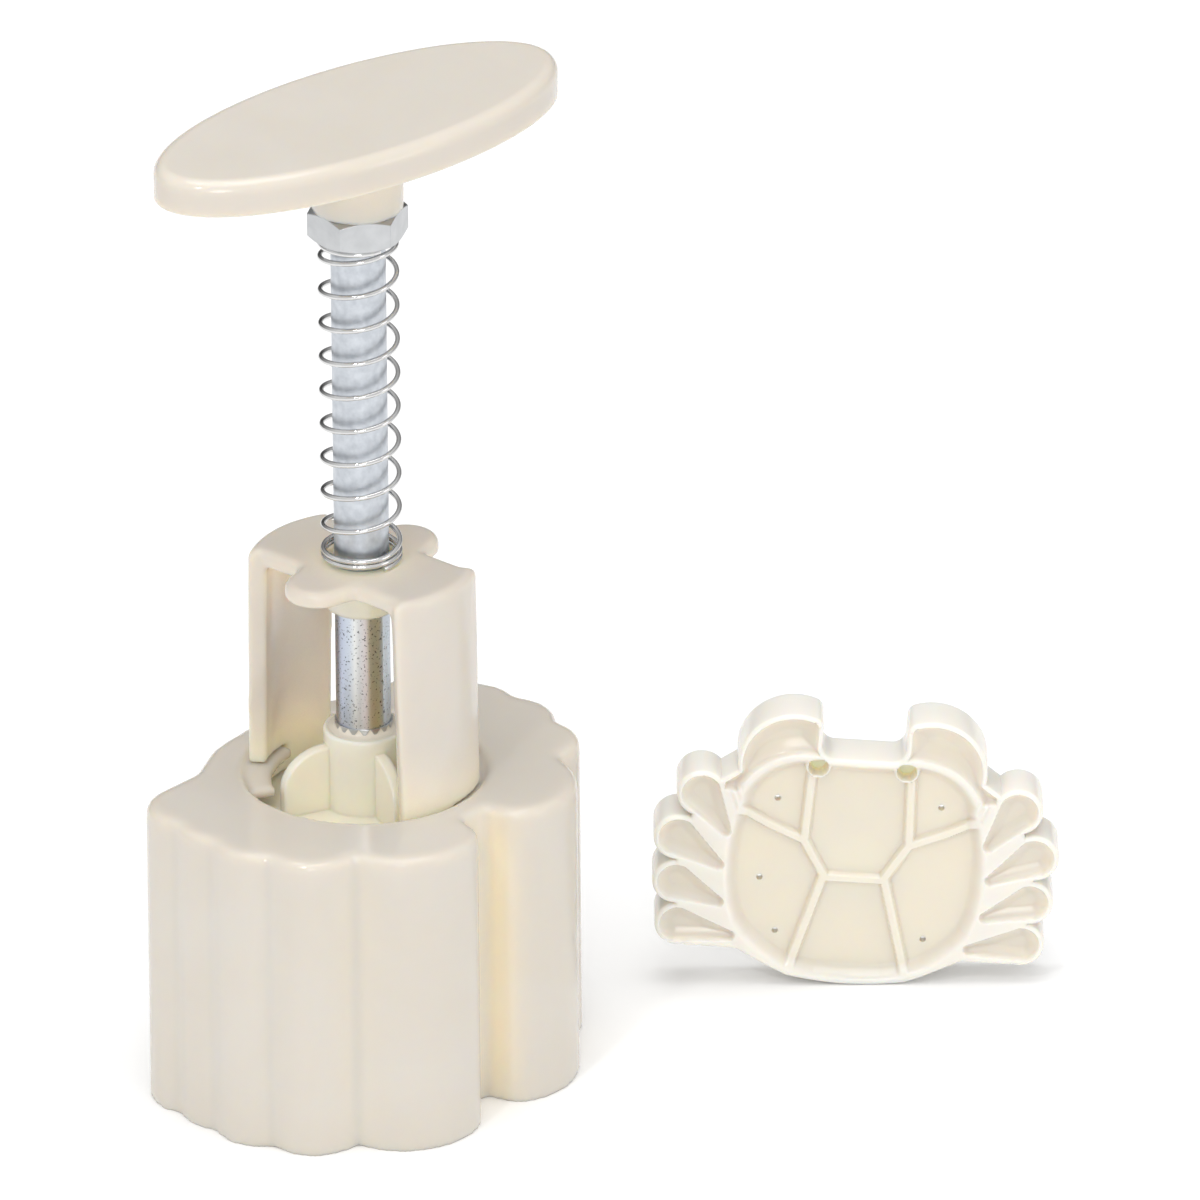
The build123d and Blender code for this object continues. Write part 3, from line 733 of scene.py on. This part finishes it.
# %% Stamp: put together
def carved_stamp():
    """The stamp with its flat front replaced by the carved net."""
    shape = bmesh.new()
    shape.from_mesh(pierced())
    deep = shape.verts.layers.float.new("sunk")
    loops = border_loops(shape)
    rims = [np.array([to_stamp(v.co)[:2] for v in loop]) for loop in loops]
    owner, border = [], []
    for number, loop in enumerate(loops):
        first = len(owner)
        owner += [number] * len(loop)
        border += [(first + i, first + (i + 1) % len(loop)) for i in range(len(loop))]
    loose = net_points(rims[0])
    for side, ahead in VENTS:
        loose = loose[np.hypot(loose[:, 0] - side, loose[:, 1] - ahead) > VENT_RADIUS + 0.12]
    rim_vertices = [vertex for loop in loops for vertex in loop]
    every = [Vector(p) for p in np.vstack(rims + [loose])]
    spots, _, triangles, origin = geometry.delaunay_2d_cdt(every, border, [], 1, 1e-5)[:4]
    flat = np.array([spot[:] for spot in spots])
    rim = np.abs(depth_in(flat, rims[0]))
    on_round = np.clip(RIM_ROUND - rim, 0, None)
    rounding = RIM_ROUND - np.sqrt(np.clip(RIM_ROUND ** 2 - on_round ** 2, 0, None))
    sunk = relief(flat, rim)
    made, belongs = [], []
    for number, (side, ahead) in enumerate(flat):
        first = origin[number][0] if origin[number] else -1
        on_rim = 0 <= first < len(rim_vertices)
        vertex = rim_vertices[first] if on_rim else shape.verts.new()
        vertex.co = from_stamp(side, ahead, FACE - rounding[number] - sunk[number])
        vertex[deep] = sunk[number]
        made.append(vertex)
        belongs.append(owner[first] if on_rim else -1)
    for triangle in triangles:
        corners = [made[i] for i in triangle]
        owners = {belongs[i] for i in triangle}
        in_vent = len(owners) == 1 and owners.pop() > 0
        if not in_vent and len(set(corners)) == 3 and not shape.faces.get(corners):
            shape.faces.new(corners)
    bmesh.ops.recalc_face_normals(shape, faces=shape.faces)
    for face in shape.faces:
        face.smooth = True
    for edge in shape.edges:
        edge.smooth = len(edge.link_faces) == 2 and edge.calc_face_angle() < math.radians(40)
    open_edges = sum(len(edge.link_faces) != 2 for edge in shape.edges)
    mesh = bpy.data.meshes.new("crab_stamp_face")
    shape.to_mesh(mesh)
    shape.free()
    mesh.materials.append(STAMP_PLASTIC)
    print("stamp:", len(mesh.polygons), "faces,", len(loops) - 1, "vents, deepest",
          round(float(sunk.max()), 2), "mm, open edges", open_edges)
    return new_piece("crab_stamp_face", mesh)


stamp = carved_stamp()
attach(stamp, "stamp")
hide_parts("crab_stamp")

# %% [markdown]
# The next pieces repeat something: turns of wire, teeth round the rod. Geometry Nodes
# says such a piece once, with its sizes as named inputs. A tree is run on an empty
# object, its result is kept as a plain mesh, and the modifier goes away again.

# %% Geometry Nodes helpers
KINDS = {"int": "NodeSocketInt", "float": "NodeSocketFloat", "material": "NodeSocketMaterial"}


def new_tree(name, **inputs):
    """A tree with named inputs of these kinds and one mesh as its output."""
    tree = bpy.data.node_groups.new(name, "GeometryNodeTree")
    for label, kind in inputs.items():
        tree.interface.new_socket(label, in_out="INPUT", socket_type=KINDS[kind])
    tree.interface.new_socket("Mesh", in_out="OUTPUT", socket_type="NodeSocketGeometry")
    return tree, tree.nodes.new("NodeGroupInput").outputs, tree.nodes.new("NodeGroupOutput")


def fill(tree, node, values):
    """Sets or links a node's sockets, by their names or in their order."""
    for key, value in values:
        socket = node.inputs[key]
        if isinstance(value, bpy.types.NodeSocket):
            tree.links.new(value, socket)
        else:
            socket.default_value = value
    return node


def step(tree, kind, **values):
    """One node of a tree; gives its first output. Spaces in socket names are written as _."""
    node = tree.nodes.new(kind)
    fill(tree, node, [(key.replace("_", " "), value) for key, value in values.items()])
    return node.outputs[0]


def calc(tree, operation, *values):
    node = tree.nodes.new("ShaderNodeMath")
    node.operation = operation
    return fill(tree, node, list(enumerate(values))).outputs[0]


def finished(tree, geometry_socket, material_socket, output, smooth=True):
    """Ends a tree: real geometry, smooth shading and the material."""
    real = step(tree, "GeometryNodeRealizeInstances", Geometry=geometry_socket)
    shaded = step(tree, "GeometryNodeSetShadeSmooth", Geometry=real, Shade_Smooth=smooth)
    painted = step(tree, "GeometryNodeSetMaterial", Geometry=shaded, Material=material_socket)
    tree.links.new(painted, output.inputs[0])


def grown(name, tree, **values):
    """Runs a tree with these inputs and keeps its result as a plain mesh."""
    piece = new_piece(name, bpy.data.meshes.new(name))
    growth = piece.modifiers.new("growth", "NODES")
    growth.node_group = tree
    for item in tree.interface.items_tree:
        if item.in_out == "INPUT":
            growth[item.identifier] = values[item.name]
    return keep(piece, evaluated(piece), values["Finish"])


# %% [markdown]
# The return spring is one wire in three stretches: two turns that touch at the foot,
# nine open turns, and one turn that touches the nut. A line of points is wound up by
# its index: the angle grows evenly, and the height grows slowly in the closed turns
# and fast in the open ones. A circle swept along the line makes the wire round. A screw
# modifier would be quicker, but it can't close the ends of the spring.

# %% Return spring
CLOSED_PITCH, STAND_OFF = 2.1, 1.1      # in wire radii: turn to turn, and off plate and nut


def spring_tree():
    tree, given, output = new_tree(
        "coil_spring", Foot="float", Head="float", Radius="float", Wire="float", Start="float",
        Low_turns="int", Open_turns="int", High_turns="int", Steps="int", Finish="material")
    low, middle, high = given["Low_turns"], given["Open_turns"], given["High_turns"]
    turns = calc(tree, "ADD", calc(tree, "ADD", low, middle), high)
    count = calc(tree, "ADD", calc(tree, "MULTIPLY", turns, given["Steps"]), 1.0)
    line = step(tree, "GeometryNodeMeshLine", Count=count)
    turn = calc(tree, "DIVIDE", step(tree, "GeometryNodeInputIndex"), given["Steps"])
    closed_pitch = calc(tree, "MULTIPLY", given["Wire"], CLOSED_PITCH)
    ends = calc(tree, "MULTIPLY", closed_pitch, calc(tree, "ADD", low, high))
    room = calc(tree, "SUBTRACT", calc(tree, "SUBTRACT", given["Head"], given["Foot"]),
                calc(tree, "MULTIPLY", given["Wire"], 2 * STAND_OFF))
    open_pitch = calc(tree, "DIVIDE", calc(tree, "SUBTRACT", room, ends), middle)
    above_low = calc(tree, "MAXIMUM", calc(tree, "SUBTRACT", turn, low), 0.0)
    in_open = calc(tree, "MINIMUM", above_low, middle)
    in_closed = calc(tree, "SUBTRACT", turn, in_open)
    rise = calc(tree, "ADD", calc(tree, "MULTIPLY", in_closed, closed_pitch),
                calc(tree, "MULTIPLY", in_open, open_pitch))
    lowest = calc(tree, "MULTIPLY_ADD", given["Wire"], STAND_OFF, given["Foot"])
    height = calc(tree, "ADD", lowest, rise)
    angle = calc(tree, "MULTIPLY_ADD", turn, math.tau, given["Start"])
    place = step(tree, "ShaderNodeCombineXYZ",
                 X=calc(tree, "MULTIPLY", calc(tree, "COSINE", angle), given["Radius"]),
                 Y=calc(tree, "MULTIPLY", calc(tree, "SINE", angle), given["Radius"]), Z=height)
    wound = step(tree, "GeometryNodeSetPosition", Geometry=line, Position=place)
    path = step(tree, "GeometryNodeMeshToCurve", Mesh=wound)
    section = step(tree, "GeometryNodeCurvePrimitiveCircle", Resolution=14, Radius=given["Wire"])
    wire = step(tree, "GeometryNodeCurveToMesh", Curve=path, Profile_Curve=section, Fill_Caps=True)
    finished(tree, wire, given["Finish"], output)
    return tree


spring = grown("return_coil", spring_tree(), Foot=PLATE_TOP, Head=NUT_UNDERSIDE,
               Radius=6.95 * MM, Wire=0.5 * MM, Start=math.radians(-12), Low_turns=2,
               Open_turns=9, High_turns=1, Steps=48, Finish=WIRE_STEEL)
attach(spring, "spring")
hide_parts("return_spring")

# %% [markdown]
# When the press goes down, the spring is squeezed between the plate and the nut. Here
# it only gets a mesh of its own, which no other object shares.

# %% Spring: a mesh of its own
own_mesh(spring)

# %% [markdown]
# The rod's lower end is pressed into the hub. A crown of V teeth is cut on it so that
# it can't turn in the plastic, and their upper halves still show over the hub as a
# zigzag. Each tooth is a three-sided wedge with its point down; the tree sets one on
# each point of a circle and turns its flat side outwards.

# %% Teeth at the foot of the rod
def tooth_tree():
    tree, given, output = new_tree(
        "rod_teeth", Count="int", Radius="float", Top="float", Height="float",
        Width="float", Reach="float", Finish="material")
    ring = step(tree, "GeometryNodeMeshCircle", Vertices=given["Count"], Radius=given["Radius"])
    index = step(tree, "GeometryNodeInputIndex")
    turn = calc(tree, "MULTIPLY", index, calc(tree, "DIVIDE", math.tau, given["Count"]))
    wedge = step(tree, "GeometryNodeMeshCylinder", Vertices=3, Radius=1.0, Depth=1.0)
    size = step(tree, "ShaderNodeCombineXYZ", X=calc(tree, "DIVIDE", given["Height"], 1.5),
                Y=calc(tree, "DIVIDE", given["Width"], math.sqrt(3)), Z=given["Reach"])
    pointing = step(tree, "GeometryNodeTransform", Geometry=wedge,
                    Rotation=(0, math.pi / 2, 0), Scale=size)
    heading = step(tree, "ShaderNodeCombineXYZ", Z=turn)
    teeth = step(tree, "GeometryNodeInstanceOnPoints", Points=ring, Instance=pointing,
                 Rotation=heading)
    middle = calc(tree, "SUBTRACT", given["Top"], calc(tree, "DIVIDE", given["Height"], 3.0))
    lifted = step(tree, "GeometryNodeTransform", Geometry=teeth,
                  Translation=step(tree, "ShaderNodeCombineXYZ", Z=middle))
    finished(tree, lifted, given["Finish"], output, smooth=False)
    return tree


teeth = grown("rod_teeth", tooth_tree(), Count=16, Radius=ROD_RADIUS + 0.03 * MM,
              Top=HUB_TOP + 1.5 * MM, Height=1.45 * MM, Width=1.95 * MM, Reach=0.5 * MM,
              Finish=NUT_ZINC)
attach(teeth, "plunger")


# %% [markdown]
# Between the teeth a low cone of plastic closes round the rod. It is round and hollow,
# with a curved slope, so it comes from a lathe: a closed section is turned round the
# press's axis. A cone primitive would have a straight slope.

# %% Lip of the hub
def lathe(name, section, material, steps=96):
    """Turns a closed list of (radius, height) points round Z."""
    shape = bmesh.new()
    rings = []
    for radius, height in section:
        ring = [shape.verts.new((radius * math.cos(t), radius * math.sin(t), height))
                for t in np.arange(steps) * math.tau / steps]
        rings.append(ring)
    for lower, upper in zip(rings, rings[1:] + rings[:1]):
        for i in range(steps):
            j = (i + 1) % steps
            shape.faces.new((lower[i], lower[j], upper[j], upper[i]))
    bmesh.ops.recalc_face_normals(shape, faces=shape.faces)
    for face in shape.faces:
        face.smooth = True
    for edge in shape.edges:
        edge.smooth = edge.calc_face_angle() < math.radians(38)
    mesh = bpy.data.meshes.new(name)
    shape.to_mesh(mesh)
    shape.free()
    mesh.materials.append(material)
    print(name, len(mesh.polygons), "faces")
    return new_piece(name, mesh)


BORE = ROD_RADIUS / MM + 0.01
LIP = [(BORE, -0.3), (6.5, -0.3), (6.5, 0.04), (5.9, 0.1), (5.45, 0.24), (5.2, 0.5),
       (5.12, 0.9), (5.09, 1.4), (BORE, 1.42)]          # radius, height over the hub, in mm
hub_lip = lathe("hub_lip", [(radius * MM, HUB_TOP + height * MM) for radius, height in LIP],
                THIN_PLASTIC)
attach(hub_lip, "plunger")

# %% [markdown]
# A plain pale floor carries the soft shadow. It isn't part of the object, so it
# rides on nothing.

# %% Floor
bpy.ops.mesh.primitive_plane_add(size=6.0)
floor = bpy.context.object
floor.name = "floor"
paper, _, shader, _ = new_material("paper")
shader.inputs["Base Color"].default_value = grey(0.97)
shader.inputs["Roughness"].default_value = 0.9
floor.data.materials.append(paper)
print("floor:", [round(v, 1) for v in floor.dimensions], "m")


# %% [markdown]
# The camera is a long lens a few metres off, so upright edges stay almost upright.
# It is placed by where it looks from, how far off it is and where the top of the
# mould falls in a picture of 1200 by 1200.

# %% Camera
ELEVATION, ROLL = math.radians(26.16), math.radians(0.45)
DISTANCE = 4.84                     # m
PIXELS_PER_METRE = 5508.0           # at that distance
PICTURE = 1200                      # pixels, width and height
ANCHOR = Vector((0, 0, 0.0591))     # the middle of the mould's deck
ANCHOR_AT = (364.3, 766.3)          # pixels from the left and from the top
SENSOR = 36.0                       # mm

right = ASIDE.copy()
back = Vector((math.sin(HEADING) * math.cos(ELEVATION),
               -math.cos(HEADING) * math.cos(ELEVATION), math.sin(ELEVATION)))
up = back.cross(right)
right, up = (right * math.cos(ROLL) - up * math.sin(ROLL),
             right * math.sin(ROLL) + up * math.cos(ROLL))
across = (ANCHOR_AT[0] - PICTURE / 2) / PIXELS_PER_METRE
above = -(ANCHOR_AT[1] - PICTURE / 2) / PIXELS_PER_METRE
camera_data = bpy.data.cameras.new("camera")
camera_data.sensor_width = SENSOR
camera_data.lens = PIXELS_PER_METRE * DISTANCE / PICTURE * SENSOR
camera_data.clip_start, camera_data.clip_end = 0.5, 30.0
camera = new_piece("camera", camera_data)
seen_from = Matrix.Translation(ANCHOR - right * across - up * above + back * DISTANCE)
camera.matrix_world = seen_from @ Matrix((right, up, back)).transposed().to_4x4()
bpy.context.scene.camera = camera
print("lens", round(camera_data.lens), "mm, camera", [round(v, 2) for v in camera.location])

# %% [markdown]
# Soft studio light. The world is bright in front of the press and above it and dim
# behind and below, so that the walls are shaded. A small key lamp in front on the left
# draws the highlights, a large panel hangs above, a middle one beside the camera
# reaches into the cage's window, and a weak one on the right fills the shadows.

# %% Light
MIDDLE = Vector((0, 0, 0.09))       # what the lamps point at
LAMPS = [                           # name, place, diameter in m, power in W
    ("key", -ASIDE * 0.5 + FORWARD * 1.0 + UP * 1.3, 0.15, 3),
    ("top", UP * 1.6, 1.2, 10),
    ("front", back * 1.6, 0.5, 3.5),
    ("side", ASIDE * 1.2 + FORWARD * 0.5 + UP * 0.5, 0.5, 0.9),
]
SKY_TILT = 0.9                      # how much of the world's brightness comes from above
DIM, BRIGHT = (-0.9, 0.06), (0.5, 0.87)         # direction value, strength

for name, place, size, power in LAMPS:
    light = bpy.data.lights.new(name, "AREA")
    light.shape, light.size, light.energy = "DISK", size, power
    lamp = new_piece(name, light)
    lamp.location = place
    lamp.rotation_mode = "QUATERNION"
    lamp.rotation_quaternion = (MIDDLE - place).to_track_quat("-Z", "Y")

world = bpy.data.worlds.new("studio")
world.use_nodes = True
sky = world.node_tree
towards = add(sky, "ShaderNodeVectorMath", operation="DOT_PRODUCT")
join(sky, add(sky, "ShaderNodeTexCoord"), "Generated", towards, 0)
towards.inputs[1].default_value = (math.sin(HEADING), -math.cos(HEADING), SKY_TILT)
level = between(sky, towards, "Value", DIM[0], BRIGHT[0], DIM[1], BRIGHT[1])
join(sky, level, "Result", sky.nodes["Background"], "Strength")
sky.nodes["Background"].inputs["Color"].default_value = grey(1)
bpy.context.scene.world = world
bpy.context.scene.view_settings.view_transform = "Standard"
print("lamps:", ", ".join(name for name, *_ in LAMPS))
